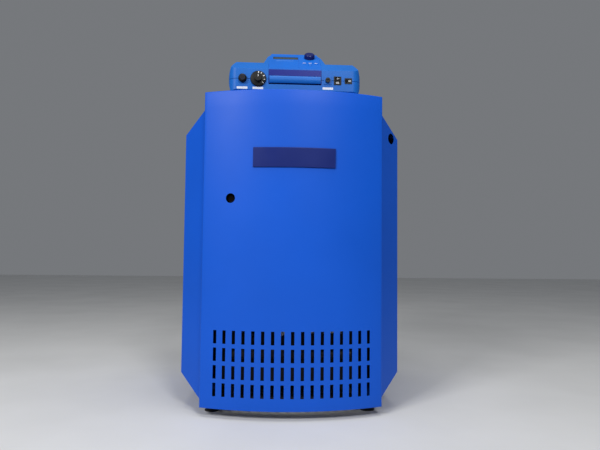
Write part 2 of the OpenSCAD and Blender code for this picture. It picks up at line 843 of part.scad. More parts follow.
// Rocker switch: len along the way it rocks, wid along its pin; +Z is the front
module switch_frame(len, wid) {
  difference() {
    union() {
      translate([-wid / 2, -len / 2, 0]) cube([wid, len, switch_flange]);
      translate([1.6 - wid / 2, 1.6 - len / 2, -18]) cube([wid - 3.2, len - 3.2, 19]);
    }
    translate([3.2 - wid / 2, 2.2 - len / 2, -11]) cube([wid - 6.4, len - 4.4, 20]);
    translate([1.8 - wid / 2, 0, -pin_depth]) rotate([0, 90, 0])
      cylinder(h = wid - 3.6, d = 2.4 + 2 * fit);
  }
}
module rocker(len, wid) {
  half = len / 2 - 2.6;
  reach = half - 0.8;
  front = pin_depth + 2.2;
  translate([0, 0, -pin_depth]) rotate([rocker_tilt, 0, 0]) {
    rotate([90, 0, 90]) translate([0, 0, gap - wid / 2 + 3.2]) linear_extrude(wid - 6.4 - 2 * gap)
      polygon([[-reach, front + 0.4], [0, front - 0.8], [reach, front + 0.4], [reach, 1],
        [3, -4.5], [-3, -4.5], [-reach, 1]]);
    translate([gap + 1.8 - wid / 2, 0, 0]) rotate([0, 90, 0])
      cylinder(h = wid - 3.6 - 2 * gap, d = 2.4);
  }
}
module at_mode() { translate([mode_x, ctl_y, part_z]) rotate([90, 0, 0]) children(); }
module at_main() { translate([main_x, ctl_y, part_z]) rotate([90, 0, 0]) rotate(90) children(); }
module mode_switch_frame() { color(black) at_control() at_mode() switch_frame(24, 21); }
module mode_rocker() { color(black) at_control() at_mode() rocker(24, 21); }
module main_switch_frame() { color(black) at_control() at_main() switch_frame(20.4, 16); }
module main_rocker() { color(black) at_control() at_main() rocker(20.4, 16); }

// ---------- boiler block ----------

// One hollow cast section around x = 0; its hubs meet the neighbours' hubs
module section() {
  half = section_w / 2 - fit;
  core = section_w / 2 - 16;
  middle = [block_y0 + section_d / 2, block_z + section_h / 2];
  difference() {
    union() {
      difference() {
        union() {
          yz_extrude(-core, core) translate(middle) rounded_rect(section_d, section_h, 24);
          for (z = [hub_low_z, hub_top_z]) rod_x(hub_y, z, -half, half, hub_d + 2 * hub_wall);
          // fins in the flue ways, and the web that closes them at the front
          for (i = [0:fins - 1])
            block([fin_slot - half, block_y0 + 42 + i * fin_pitch, block_z + 55],
                  [half - fin_slot, block_y0 + 50 + i * fin_pitch, block_top - 55]);
          block([-half, block_y0, block_z], [half, block_y0 + 12, block_top - 60]);
        }
        // waterway
        yz_extrude(cast_wall - core, core - cast_wall) translate(middle)
          rounded_rect(section_d - 2 * cast_wall - 8, section_h - 2 * cast_wall - 8, 16);
      }
      for (p = rod_places) rod_x(p[0], p[1], -half, half, rod_d + 16);
    }
    for (z = [hub_low_z, hub_top_z]) rod_x(hub_y, z, -section_w, section_w, hub_d);
    for (p = rod_places) rod_x(p[0], p[1], -section_w, section_w, rod_d + 1);
  }
}
// Closes the outer hub mouths of an end section whose outside is at +X
module hub_covers() {
  for (z = [hub_low_z, hub_top_z])
    rod_x(hub_y, z, section_w / 2 - 12, section_w / 2, hub_d + 1);
}

module end_section_left() {
  color(iron) at_origin() translate([-end_x, 0, 0]) difference() {
    union() {
      section();
      mirror([1, 0, 0]) hub_covers();
      rod_y(0, hub_low_z, block_y1 - 20, block_y1 + port_len, water_d + 14);
      rod_y(0, port_z, block_y0 - port_len, block_y0 + 10, 32);
    }
    rod_y(0, hub_low_z, block_y1 - 30, block_y1 + port_len + 1, water_d + 2 * fit);
    rod_y(0, port_z, block_y0 - port_len - 1, block_y0 + 20, 15);
  }
}
module end_section_right() {
  color(iron) at_origin() translate([end_x, 0, 0]) difference() {
    union() {
      section();
      hub_covers();
      rod_y(0, hub_top_z, block_y1 - 20, block_y1 + port_len, water_d + 14);
    }
    rod_y(0, hub_top_z, block_y1 - 30, block_y1 + port_len + 1, water_d + 2 * fit);
  }
}
module middle_sections() {
  color(iron) at_origin() for (i = [1:sections - 2])
    translate([i * section_w - end_x, 0, 0]) section();
}
module nipples() {
  len = 26;
  color(steel) at_origin() for (i = [0:sections - 2], z = [hub_low_z, hub_top_z])
    difference() {
      rod_x(hub_y, z, (i + 1) * section_w - block_half - len / 2,
            (i + 1) * section_w - block_half + len / 2, hub_d - 2 * fit);
      rod_x(hub_y, z, -block_half, block_half, hub_d - 8);
    }
}
module tie_rods() {
  nut = 8;
  color(steel) at_origin() for (p = rod_places) {
    rod_x(p[0], p[1], -block_half - nut - 4, block_half + nut + 4, rod_d);
    for (x = [-block_half - nut, block_half]) translate([x, p[0], p[1]]) rotate([0, 90, 0])
      cylinder(h = nut, r = 9.5, $fn = 6);
  }
}

module insulation_jacket() {
  color("silver") at_origin() difference() {
    block([-jacket_out, jacket_y0 - jacket_t, block_z], [jacket_out, jacket_y1 + jacket_t, block_top]);
    block([-jacket_in, jacket_y0, block_z - 1], [jacket_in, jacket_y1, block_top + 1]);
    rod_y(-end_x, port_z, 0, block_y0, 36);
    rod_y(-end_x, hub_low_z, block_y1, casing_d, water_d + 18);
    rod_y(end_x, hub_top_z, block_y1, casing_d, water_d + 18);
  }
}

// Side outline of the flue collector, its wall inset by t
function collector_profile(t) = [
  [block_y0 + 2 + t, block_top - t], [block_y0 + 2 + t, block_top + 26 - t / 2],
  [block_y0 + 120 + t / 2, duct_z1 - t], [block_y1 - 2 - t, duct_z1 - t],
  [block_y1 - 2 - t, block_top - t]
];
module flue_collector() {
  color(steel) at_origin() difference() {
    union() {
      yz_extrude(-collector_half, collector_half) polygon(collector_profile(0));
      block([-duct_half, block_y1 - 10, duct_z0], [duct_half, casing_d, duct_z1]);
    }
    yz_extrude(thin - collector_half, collector_half - thin) polygon(collector_profile(thin));
    block([thin - duct_half, block_y1 - 20, duct_z0 + thin],
          [duct_half - thin, casing_d + 1, duct_z1 - thin]);
  }
}

module draught_diverter() {
  y0 = casing_d;
  y1 = casing_d + diverter_d;
  color(steel) at_origin() {
    difference() {
      union() {
        block([-diverter_half, y0, block_top], [diverter_half, y1, diverter_z1]);
        translate([0, flue_y, diverter_z1 - 1]) cylinder(h = flue_len + 1, d = flue_d, $fn = 96);
      }
      block([thin - diverter_half, y0 + thin, block_top - 1],
            [diverter_half - thin, y1 - thin, diverter_z1 - thin]);
      block([thin - duct_half, y0 - 1, duct_z0 + thin],
            [duct_half - thin, y0 + 10, duct_z1 - thin]);
      translate([0, flue_y, diverter_z1 - 5])
        cylinder(h = flue_len + 10, d = flue_d - 2 * thin, $fn = 96);
    }
    // baffle between the duct and the relief opening
    yz_extrude(thin / 2 - diverter_half, diverter_half - thin / 2) polygon([
      [y0 + thin / 2, duct_z0], [y0 + 60, block_top + 8], [y0 + 60, block_top + 10],
      [y0 + thin / 2, duct_z0 + 2]]);
  }
}

module water_pipe(x, z) {
  color(steel) at_origin() difference() {
    union() {
      rod_y(x, z, block_y1 + 2, water_end - water_thread, water_d);
      rod_y(x, z, block_y1 + 4, water_end, water_thread_d);
    }
    rod_y(x, z, block_y1, water_end + 1, water_d - 2 * water_wall);
  }
}
module flow_pipe() { water_pipe(end_x, hub_top_z); }
module return_pipe() { water_pipe(-end_x, hub_low_z); }

module drain_cock() {
  color(brass) at_origin() difference() {
    union() {
      rod_y(-end_x, port_z, cock_y, block_y0 - port_len, 24);
      rod_y(-end_x, port_z, block_y0 - port_len - 1, block_y0, 15 - 2 * fit);
      rod_y(-end_x, port_z, cock_y - 20, cock_y + 1, 15);
      translate([-end_x, cock_y + 10, port_z]) cylinder(h = 18, d = 14);
    }
    rod_y(-end_x, port_z, cock_y - 21, block_y0 + 1, 9);
    translate([-end_x, cock_y + 10, port_z + 6]) cylinder(h = 20, d = shaft_d + 2 * fit);
  }
}
module drain_handle() {
  color("firebrick") at_origin() translate([-end_x, cock_y + 10, port_z]) {
    translate([0, 0, 7]) cylinder(h = 16, d = shaft_d);
    translate([0, 0, 18 + gap]) {
      cylinder(h = 5, d = 15);
      translate([0, -4.5, 0]) cube([44, 9, 4]);
    }
  }
}

// ---------- burner ----------

module burner_chamber() {
  x = chamber_half;
  color(steel) at_origin() {
    difference() {
      block([-x, chamber_y0, base_z], [x, chamber_y1, block_z]);
      block([plate_t - x, chamber_y0 - 1, base_z - 1], [x - plate_t, chamber_y1 - plate_t, block_z + 1]);
    }
    difference() {
      block([-jacket_out - 2, jacket_y0 - jacket_t, block_z - plate_t],
            [jacket_out + 2, jacket_y1 + jacket_t, block_z]);
      block([18 - x, block_y0 + 8, block_z - 5], [x - 18, block_y1 - 8, block_z + 1]);
    }
  }
}

function tube_x(i) = tube_first + i * tube_pitch;

module burner_plate() {
  color(steel) at_origin() difference() {
    union() {
      block([-chamber_half, plate_y, plate_low], [chamber_half, plate_y + plate_t, block_z - plate_t]);
      block([-chamber_half, plate_y - 14, plate_low], [chamber_half, plate_y, plate_low + plate_t]);
      rod_y(sight_x, valve_z - 30, plate_y - 6, plate_y, 40);
    }
    for (i = [0:tubes - 1]) rod_y(tube_x(i), tube_z, plate_y - 1, plate_y + 5, 24);
    rod_y(sight_x, valve_z - 30, plate_y - 7, plate_y + 5, 26);
    rod_y(pilot_x, valve_z - 25, plate_y - 1, plate_y + 5, 20);
  }
}

module tube_profile(t) {
  w = tube_w - 2 * t;
  h = tube_h - 2 * t;
  square([w, h - w], center = true);
  for (y = [-1, 1]) translate([0, y * (h - w) / 2]) circle(d = w);
}
module burner_tubes() {
  y1 = tube_y0 + tube_len;
  flare = 18;
  color(steel) at_origin() for (i = [0:tubes - 1]) difference() {
    union() {
      xz_extrude(tube_y0 + flare - 1, y1) translate([tube_x(i), tube_z]) tube_profile(0);
      translate([tube_x(i), tube_y0, tube_z]) rotate([-90, 0, 0])
        cylinder(h = flare, d1 = tube_w + 8, d2 = tube_w);
    }
    xz_extrude(tube_y0 + flare - 1, y1 - tube_wall) translate([tube_x(i), tube_z])
      tube_profile(tube_wall);
    translate([tube_x(i), tube_y0 - 0.5, tube_z]) rotate([-90, 0, 0])
      cylinder(h = flare, d1 = tube_w + 8 - 2 * tube_wall, d2 = tube_w - 2 * tube_wall);
    for (k = [0:tube_slots])
      translate([tube_x(i) - tube_w / 3, tube_y0 + 50 + k * tube_slot_pitch, tube_z + tube_h / 2 - 4])
        cube([2 * tube_w / 3, 3, 6]);
  }
}
module burner_frame() {
  x = chamber_half - plate_t - gap;
  low = tube_z - tube_h / 2 - 6;
  y1 = tube_y0 + tube_len - 30;
  color(steel) at_origin() difference() {
    union() {
      block([-x, chamber_y0, low], [x, y1, low + plate_t]);
      for (side = [-x, x - plate_t]) block([side, chamber_y0, low], [side + plate_t, y1, low + 24]);
      for (y = [tube_y0 + 30, y1 - plate_t]) block([-x, y, low], [x, y + plate_t, tube_z]);
    }
    for (i = [0:tubes - 1]) xz_extrude(tube_y0 + 20, y1 + 5) translate([tube_x(i), tube_z])
      tube_profile(-fit);
    for (i = [0:tubes - 2]) block([tube_x(i) + 12, tube_y0 + 60, low - 1],
                                  [tube_x(i + 1) - 12, y1 - 30, low + plate_t + 1]);
  }
}

module gas_manifold() {
  end = tube_x(tubes - 1) + manifold_end;
  out_x = valve_x - valve_w / 2;
  bend = manifold_bend;
  feed_x = out_x - bend / 2 - bend;
  color("goldenrod") at_origin() {
    difference() {
      rod_x(manifold_y, tube_z, -end, end, gas_d);
      rod_x(manifold_y, tube_z, 3 - end, end - 3, gas_d - 2 * gas_wall);
      for (i = [0:tubes - 1]) rod_y(tube_x(i), tube_z, manifold_y, manifold_y + 20, 8);
    }
    for (i = [0:tubes - 1]) difference() {
      rod_y(tube_x(i), tube_z, manifold_y + gas_d / 2 - 2, manifold_y + nozzle_out, 16);
      rod_y(tube_x(i), tube_z, manifold_y, manifold_y + nozzle_out + 1, 8);
    }
    translate([feed_x, manifold_y, tube_z + gas_d / 2 - 2])
      cylinder(h = valve_z - bend - tube_z - gas_d / 2 + 2, d = gas_d);
    translate([feed_x + bend, manifold_y, valve_z - bend]) rotate([90, -180, 0])
      rotate_extrude(angle = -90) translate([bend, 0]) circle(d = gas_d);
    rod_x(manifold_y, valve_z, feed_x + bend, out_x, gas_d);
    // brackets that carry the pipe on the burner plate
    for (side = [0, 1]) mirror([side, 0, 0]) {
      block([end - 5, manifold_y, tube_z - bracket_h / 2],
            [end - 2, plate_y, tube_z + bracket_h / 2]);
      block([end - 5, plate_y - 3, tube_z - bracket_h / 2],
            [end + bracket_h, plate_y, tube_z + bracket_h / 2]);
    }
  }
}
module orifices() {
  y0 = manifold_y + nozzle_out;
  color(brass) at_origin() for (i = [0:tubes - 1]) difference() {
    union() {
      translate([tube_x(i), y0, tube_z]) rotate([-90, 0, 0]) cylinder(h = 7, r = 8, $fn = 6);
      translate([tube_x(i), y0 + 6, tube_z]) rotate([-90, 0, 0]) cylinder(h = 14, d1 = 11, d2 = 6);
      rod_y(tube_x(i), tube_z, y0 - 8, y0 + 1, 8 - 2 * fit);
    }
    rod_y(tube_x(i), tube_z, y0 - 9, y0 + 21, 2.4);
  }
}

module gas_valve() {
  x0 = valve_x - valve_w / 2;
  y0 = manifold_y - valve_d / 2;
  knob_y = y0;
  color("dimgray") at_origin() difference() {
    union() {
      translate([valve_x, manifold_y, valve_z - valve_h / 2]) linear_extrude(valve_h)
        rounded_rect(valve_w, valve_d, 8);
      translate([valve_x - 18, manifold_y, valve_z + valve_h / 2 - 1]) cylinder(h = 40, d = 34);
      translate([valve_x + 22, manifold_y, valve_z + valve_h / 2 - 1]) cylinder(h = 24, d = 24);
      rod_y(x0 + 24, valve_z - 12, knob_y - 6, knob_y + 1, 20);
      for (x = [10, 22]) rod_y(valve_x + x, valve_z - 18, y0 - 7, y0 + 1, 9);
    }
    rod_y(x0 + 24, valve_z - 12, knob_y - 7, knob_y + 22, shaft_d + 2 * fit);
  }
}
module gas_valve_knob() {
  x = valve_x - valve_w / 2 + 24;
  y1 = manifold_y - valve_d / 2 - 6 - gap;
  color(black) at_origin() {
    difference() {
      rod_y(x, valve_z - 12, y1 - 14, y1, 30);
      for (i = [0:7]) translate([x, y1 - 8, valve_z - 12]) rotate([0, i * 45, 0])
        translate([17, 0, 0]) rotate([90, 0, 0]) cylinder(h = 20, d = 7, center = true, $fn = 32);
    }
    rod_y(x, valve_z - 12, y1 - 1, y1 + 24, shaft_d);
  }
}
module gas_pipe() {
  in_x = valve_x + valve_w / 2;
  bore = gas_d - 2 * gas_wall;
  color("goldenrod") at_origin() {
    rod_x(manifold_y, valve_z, in_x, gas_x - gas_bend, gas_d);
    translate([gas_x - gas_bend, manifold_y + gas_bend, valve_z]) rotate([0, 0, -90])
      rotate_extrude(angle = 90) translate([gas_bend, 0]) circle(d = gas_d);
    difference() {
      union() {
        rod_y(gas_x, valve_z, manifold_y + gas_bend, gas_end - gas_thread, gas_d);
        rod_y(gas_x, valve_z, manifold_y + gas_bend, gas_end, gas_thread_d);
      }
      rod_y(gas_x, valve_z, gas_end - 200, gas_end + 1, bore);
    }
  }
}
module pilot_assembly() {
  x = pilot_x;
  z = valve_z - 25;
  color("ghostwhite") at_origin() {
    rod_y(x, z, plate_y - 2, plate_y, 32);
    for (dx = [-6, 6]) {
      rod_y(x + dx, z, plate_y - 20, plate_y + 26, 8);
      rod_y(x + dx, z, plate_y + 25, plate_y + 45, 2);
    }
  }
}

module ignition_control() {
  y1 = jacket_y0 - jacket_t;
  color(black) at_origin() difference() {
    block([reset_x - box_w / 2, box_y0, reset_z - box_h / 2],
          [reset_x + box_w / 2, y1, reset_z + box_h / 2]);
    rod_y(reset_x, reset_z, box_y0 - 1, box_y0 + 24, button_d + 2 * fit);
    for (z = [-1, 1]) block([reset_x - box_w / 2 - 1, box_y0 - 1, reset_z + z * 26 - 1],
                            [reset_x + box_w / 2 + 1, box_y0 + 1.5, reset_z + z * 26 + 1]);
  }
}
module reset_button() {
  color("darkred") at_origin()
    rod_y(reset_x, reset_z, -2, box_y0 + 24 - button_travel - 2, button_d);
}

base_frame();
foot_front_left();
foot_front_right();
foot_rear_left();
foot_rear_right();
side_panel_left();
side_panel_right();
rear_panel();
top_cover_front();
top_cover_rear();
upper_crossbar();
front_panel();
badge_plate();
casing_screws();
control_base();
control_cover();
display_module();
display_window();
selector_knob();
key_left();
key_middle();
key_right();
key_small();
service_panel();
module_flap();
thermostat_body();
thermostat_dial();
limiter_body();
limiter_cap();
fuse_holder();
fuse_cap();
mode_switch_frame();
mode_rocker();
main_switch_frame();
main_rocker();
circuit_board();
end_section_left();
end_section_right();
middle_sections();
nipples();
tie_rods();
insulation_jacket();
flue_collector();
draught_diverter();
flow_pipe();
return_pipe();
drain_cock();
drain_handle();
burner_chamber();
burner_plate();
burner_tubes();
burner_frame();
gas_manifold();
orifices();
gas_valve();
gas_valve_knob();
gas_pipe();
pilot_assembly();
ignition_control();
reset_button();
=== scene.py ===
"""Looks of a floor-standing gas boiler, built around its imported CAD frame.

Metres, +Z up, front towards -Y.
"""
import json
import math

import bmesh
import bpy
from mathutils import Matrix, Vector
from mathutils.bvhtree import BVHTree

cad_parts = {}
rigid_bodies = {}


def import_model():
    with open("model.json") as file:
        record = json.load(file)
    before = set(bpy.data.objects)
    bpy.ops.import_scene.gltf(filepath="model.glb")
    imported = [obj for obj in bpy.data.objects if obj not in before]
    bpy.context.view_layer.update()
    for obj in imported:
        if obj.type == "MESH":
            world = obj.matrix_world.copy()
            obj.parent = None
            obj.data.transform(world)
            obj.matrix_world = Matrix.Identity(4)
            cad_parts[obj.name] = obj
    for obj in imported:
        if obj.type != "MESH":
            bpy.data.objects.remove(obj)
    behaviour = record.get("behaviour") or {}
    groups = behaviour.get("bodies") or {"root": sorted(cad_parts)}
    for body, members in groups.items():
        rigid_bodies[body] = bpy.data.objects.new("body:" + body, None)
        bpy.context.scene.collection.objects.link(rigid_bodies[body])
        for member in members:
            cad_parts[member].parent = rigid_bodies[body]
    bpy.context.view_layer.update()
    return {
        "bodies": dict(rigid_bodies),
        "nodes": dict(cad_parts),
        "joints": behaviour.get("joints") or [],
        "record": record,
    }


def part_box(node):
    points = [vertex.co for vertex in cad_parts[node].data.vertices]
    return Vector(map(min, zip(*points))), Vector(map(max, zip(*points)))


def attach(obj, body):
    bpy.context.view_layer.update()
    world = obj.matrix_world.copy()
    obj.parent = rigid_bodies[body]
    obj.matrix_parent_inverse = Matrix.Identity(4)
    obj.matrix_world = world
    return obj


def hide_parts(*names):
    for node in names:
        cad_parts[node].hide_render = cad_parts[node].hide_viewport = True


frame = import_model()
NODES = frame["nodes"]
RECORD = frame["record"]
BODY_OF = {n: body for body, names in RECORD["behaviour"]["bodies"].items() for n in names}
SLOT_OF = {s["node"]: s["material_slot"] for s in RECORD["subparts"]}

MM = 0.001

# Front panel
PANEL_LOW, PANEL_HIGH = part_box("front_panel")
PANEL_HALF = PANEL_HIGH.x
PANEL_BOW = 48 * MM
PANEL_SHEET = 1.2 * MM
PANEL_RETURN = 16 * MM
EDGE_Y = PANEL_LOW.y + PANEL_BOW
BOW_R = (PANEL_HALF**2 + PANEL_BOW**2) / (2 * PANEL_BOW)
BOW_CY = EDGE_Y + BOW_R - PANEL_BOW
BOW_ANGLE = math.asin(PANEL_HALF / BOW_R)
SLOT_COLS, SLOT_ROWS = 17, 4
SLOT_W, SLOT_H = 9 * MM, 34.5 * MM
SLOT_PITCH, SLOT_ROW_PITCH, SLOT_START = 25.6 * MM, 45 * MM, 50 * MM
BUTTON_LOW, BUTTON_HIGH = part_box("reset_button")
HOLE_X = (BUTTON_LOW.x + BUTTON_HIGH.x) / 2
HOLE_Z = (BUTTON_LOW.z + BUTTON_HIGH.z) / 2
HOLE_R = 12.75 * MM
HOLE_MARGIN = 20 * MM   # half the side of the square patch of the grid round the hole
GRID_S, GRID_Z = 9 * MM, 45 * MM
BEND_R = 2.2 * MM

# Control unit
BASE_LOW, BASE_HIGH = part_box("control_base")
PART_Z = BASE_HIGH.z
COVER_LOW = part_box("control_cover")[0]
MODULE_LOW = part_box("display_module")[0]
SLOPE = math.radians(40)
SLOPE_Z = MODULE_LOW.z + 8 * MM
SLOPE_OUT = Vector((0, -math.sin(SLOPE), math.cos(SLOPE)))
FOOT = 27 * MM
SEAM_GAP = 0.45 * MM   # each rim draws back this far at the parting line
LABEL_SIZE, LABEL_CORNER = (29.5 * MM, 6.4 * MM), 0.8 * MM
DIAL_MARK_R = 17.2 * MM
DIAL_MARK_ANGLES = (88, 61, 27, -9, -43)
KEY_SIGN_END, KEY_SIGN_BAR = 2.9 * MM, 1.2 * MM
PRINT_S = 60 * MM     # how far up the slope the printed line lies
PRINT_SIZE = (50 * MM, 1.1 * MM)

# Printed and other thin details
INK = 0.15 * MM       # how far a printed patch stands out
SINK = 0.03 * MM      # how far its underside lies in the surface
RAY_START = 0.03      # how far above the surface a ray starts
RING_STEPS = 24

# Rear
SCREW_ZS = (0.150, 0.4265, 0.700)
SCREW_INSET = 5 * MM
THREAD_LENGTH = {"flow_pipe": 25 * MM, "return_pipe": 25 * MM, "gas_pipe": 20 * MM}
THREAD_PITCH, THREAD_DEPTH, THREAD_STEPS = 2.309 * MM, 0.45 * MM, 40
THREAD_SINK = 0.05 * MM

# Rounded edges
BEVEL_SEGMENTS, BEVEL_ANGLE = 3, math.radians(28)

# Palette, linear values
BLUE = (0.0012, 0.082, 0.535)
CONTROL_BLUE = (0.006, 0.122, 0.480)
MODULE_BLUE = (0.003, 0.115, 0.520)
BAND_BLUE = (0.0008, 0.010, 0.205)
NAVY = (0.003, 0.013, 0.130)
KNOB_NAVY = (0.004, 0.010, 0.100)
BLACK = (0.006, 0.0065, 0.007)


# ---------- materials ----------

class Shader:
    """A node tree being built, with its Principled shader"""

    def __init__(self, name):
        self.mat = bpy.data.materials.new(name)
        self.mat.use_nodes = True
        self.tree = self.mat.node_tree
        self.tree.nodes.clear()
        out = self.node("ShaderNodeOutputMaterial")
        self.bsdf = self.node("ShaderNodeBsdfPrincipled")
        self.link(self.bsdf.outputs["BSDF"], out.inputs["Surface"])
        self.coords = self.node("ShaderNodeTexCoord").outputs["Object"]
        self.normal = None

    def node(self, kind):
        return self.tree.nodes.new(kind)

    def link(self, a, b):
        self.tree.links.new(a, b)

    def stretched(self, scale):
        mapping = self.node("ShaderNodeMapping")
        mapping.inputs["Scale"].default_value = scale
        self.link(self.coords, mapping.inputs["Vector"])
        return mapping.outputs["Vector"]

    def noise(self, scale, detail=3.0, rough=0.5, coords=None):
        tex = self.node("ShaderNodeTexNoise")
        tex.inputs["Scale"].default_value = scale
        tex.inputs["Detail"].default_value = detail
        tex.inputs["Roughness"].default_value = rough
        self.link(coords or self.coords, tex.inputs["Vector"])
        return tex.outputs["Fac"]

    def cells(self, scale, coords=None):
        tex = self.node("ShaderNodeTexVoronoi")
        tex.inputs["Scale"].default_value = scale
        self.link(coords or self.coords, tex.inputs["Vector"])
        return tex.outputs["Distance"]

    def ramp(self, fac, stops):
        ramp = self.node("ShaderNodeValToRGB")
        elements = ramp.color_ramp.elements
        while len(elements) < len(stops):
            elements.new(0.5)
        for element, (place, colour) in zip(elements, stops):
            element.position = place
            element.color = (*colour, 1.0)
        self.link(fac, ramp.inputs["Fac"])
        return ramp.outputs["Color"]

    def ranged(self, fac, low, high):
        node = self.node("ShaderNodeMapRange")
        node.inputs["To Min"].default_value = low
        node.inputs["To Max"].default_value = high
        self.link(fac, node.inputs["Value"])
        return node.outputs["Result"]

    def mix(self, fac, a, b):
        node = self.node("ShaderNodeMix")
        node.data_type = "RGBA"
        self.link(fac, node.inputs["Factor"])
        for value, socket in ((a, node.inputs["A"]), (b, node.inputs["B"])):
            if isinstance(value, tuple):
                socket.default_value = (*value, 1.0)
            else:
                self.link(value, socket)
        return node.outputs["Result"]

    def bump(self, height, strength, distance):
        node = self.node("ShaderNodeBump")
        node.inputs["Strength"].default_value = strength
        node.inputs["Distance"].default_value = distance
        self.link(height, node.inputs["Height"])
        if self.normal:
            self.link(self.normal, node.inputs["Normal"])
        self.normal = node.outputs["Normal"]
        self.link(self.normal, self.bsdf.inputs["Normal"])

    def edge_mask(self, radius):
        """About 1 within radius of a sharp edge and 0 on flat faces"""
        bevel = self.node("ShaderNodeBevel")
        bevel.inputs["Radius"].default_value = radius
        bevel.samples = 4
        geometry = self.node("ShaderNodeNewGeometry")
        dot = self.node("ShaderNodeVectorMath")
        dot.operation = "DOT_PRODUCT"
        self.link(bevel.outputs["Normal"], dot.inputs[0])
        self.link(geometry.outputs["Normal"], dot.inputs[1])
        node = self.node("ShaderNodeMapRange")
        node.inputs["From Min"].default_value = 0.99
        node.inputs["From Max"].default_value = 0.80
        self.link(dot.outputs["Value"], node.inputs["Value"])
        return node.outputs["Result"]

    def set(self, **values):
        for key, value in values.items():
            self.bsdf.inputs[key.replace("_", " ")].default_value = value
        return self


def shade(colour, factor, lift=0.0):
    return tuple(min(1.0, c * factor + lift) for c in colour)


def powder_coat(name, colour, rough=0.42, peel=0.2, edge=0.18):
    """Sprayed and baked paint: orange peel, faint clouding, dust, and lighter along the edges,
    partly as wear and partly as a painted edge highlight
    """
    s = Shader(name)
    clouds = s.ramp(s.noise(3.5, 4), [(0.30, shade(colour, 0.95)), (0.70, shade(colour, 1.04))])
    dust = s.ranged(s.noise(420, 2), 0.0, 0.02)
    dusty = s.mix(dust, clouds, shade(colour, 1.0, 0.10))
    # Lighter along the edges: partly wear, partly a painted highlight on the edges' rounding
    wear_and_edge_highlight = s.mix(s.ranged(s.edge_mask(1.6 * MM), 0.0, edge), dusty, shade(colour, 1.2, 0.03))
    s.link(wear_and_edge_highlight, s.bsdf.inputs["Base Color"])
    s.link(s.ranged(s.noise(9, 5), rough - 0.05, rough + 0.07), s.bsdf.inputs["Roughness"])
    s.bump(s.noise(520, 2), peel, 0.00012)
    return s.set(Specular_IOR_Level=0.22).mat


def plastic(name, colour, rough=0.45, grain=0.3, scale=900, edge=0.25):
    """Injection-moulded plastic with fine spark-eroded grain"""
    s = Shader(name)
    tint = s.ramp(s.noise(14, 3), [(0.3, shade(colour, 0.94)), (0.7, shade(colour, 1.05))])
    # Lighter along the edges: partly wear, partly a painted edge highlight
    wear_and_edge_highlight = s.mix(s.ranged(s.edge_mask(0.9 * MM), 0.0, edge), tint, shade(colour, 1.3, 0.03))
    s.link(wear_and_edge_highlight, s.bsdf.inputs["Base Color"])
    s.link(s.ranged(s.noise(30, 4), rough - 0.05, rough + 0.08), s.bsdf.inputs["Roughness"])
    s.bump(s.cells(scale), grain, 0.00008)
    return s.set(Specular_IOR_Level=0.22).mat


def sheet_metal(name, colour, rough=0.35, streak=(4, 60, 4), spangle=0.0):
    """Plated or rolled sheet with streaks, and the zinc's crystal pattern where spangle is set"""
    s = Shader(name)
    along = s.noise(8, 5, coords=s.stretched(streak))
    tint = s.ramp(along, [(0.25, shade(colour, 0.86)), (0.75, shade(colour, 1.08))])
    if spangle:
        tint = s.mix(s.ranged(s.cells(55), 0.0, spangle), tint, shade(colour, 0.62))
    s.link(tint, s.bsdf.inputs["Base Color"])
    s.link(s.ranged(along, rough - 0.08, rough + 0.12), s.bsdf.inputs["Roughness"])
    s.bump(s.noise(240, 3, coords=s.stretched(streak)), 0.12, 0.0001)
    return s.set(Metallic=0.9).mat


def cast_iron(name):
    s = Shader(name)
    tone = s.ramp(s.noise(22, 6), [(0.25, (0.030, 0.030, 0.031)), (0.6, (0.065, 0.063, 0.061)),
                                   (0.85, (0.105, 0.078, 0.060))])
    s.link(tone, s.bsdf.inputs["Base Color"])
    s.link(s.ranged(s.noise(60, 4), 0.55, 0.85), s.bsdf.inputs["Roughness"])
    s.bump(s.noise(340, 6, 0.7), 0.6, 0.0006)
    return s.set(Metallic=0.35).mat


def foil_wool(name):
    """Foil-faced mineral wool with creases and quilting"""
    s = Shader(name)
    # Painted shade and highlight: the foil is darker in the dents and lighter on the ridges of the
    # crease pattern that the bump below draws
    crease_shading = s.cells(26)
    tone = s.ramp(crease_shading, [(0.0, (0.42, 0.43, 0.44)), (0.5, (0.66, 0.67, 0.68))])
    s.link(tone, s.bsdf.inputs["Base Color"])
    s.link(s.ranged(s.noise(40, 5), 0.28, 0.5), s.bsdf.inputs["Roughness"])
    s.bump(s.cells(26), 0.7, 0.003)
    s.bump(s.noise(160, 5), 0.35, 0.0008)
    return s.set(Metallic=0.75).mat


def circuit(name):
    s = Shader(name)
    tracks = s.cells(260, coords=s.stretched((1, 3, 1)))
    tone = s.ramp(tracks, [(0.0, (0.004, 0.060, 0.022)), (0.45, (0.010, 0.130, 0.050)),
                           (0.55, (0.016, 0.170, 0.070))])
    s.link(tone, s.bsdf.inputs["Base Color"])
    s.link(s.ranged(s.noise(90), 0.25, 0.4), s.bsdf.inputs["Roughness"])
    s.bump(tracks, 0.2, 0.0001)
    return s.mat


def lcd(name, colour=(0.014, 0.024, 0.036)):
    """Dark display glass"""
    s = Shader(name)
    tone = s.ramp(s.noise(30, 2), [(0.3, shade(colour, 0.8)), (0.7, shade(colour, 1.2))])
    s.link(tone, s.bsdf.inputs["Base Color"])
    s.link(s.ranged(s.noise(200), 0.08, 0.14), s.bsdf.inputs["Roughness"])
    return s.set(Coat_Weight=0.6, Coat_Roughness=0.05).mat


def printed(name, colour, rough=0.5):
    """Label stock or pad-printed ink, with slightly uneven cover"""
    s = Shader(name)
    tone = s.ramp(s.noise(500, 3), [(0.2, shade(colour, 0.88)), (0.6, colour)])
    s.link(tone, s.bsdf.inputs["Base Color"])
    s.link(s.ranged(s.noise(120), rough - 0.06, rough + 0.06), s.bsdf.inputs["Roughness"])
    return s.mat


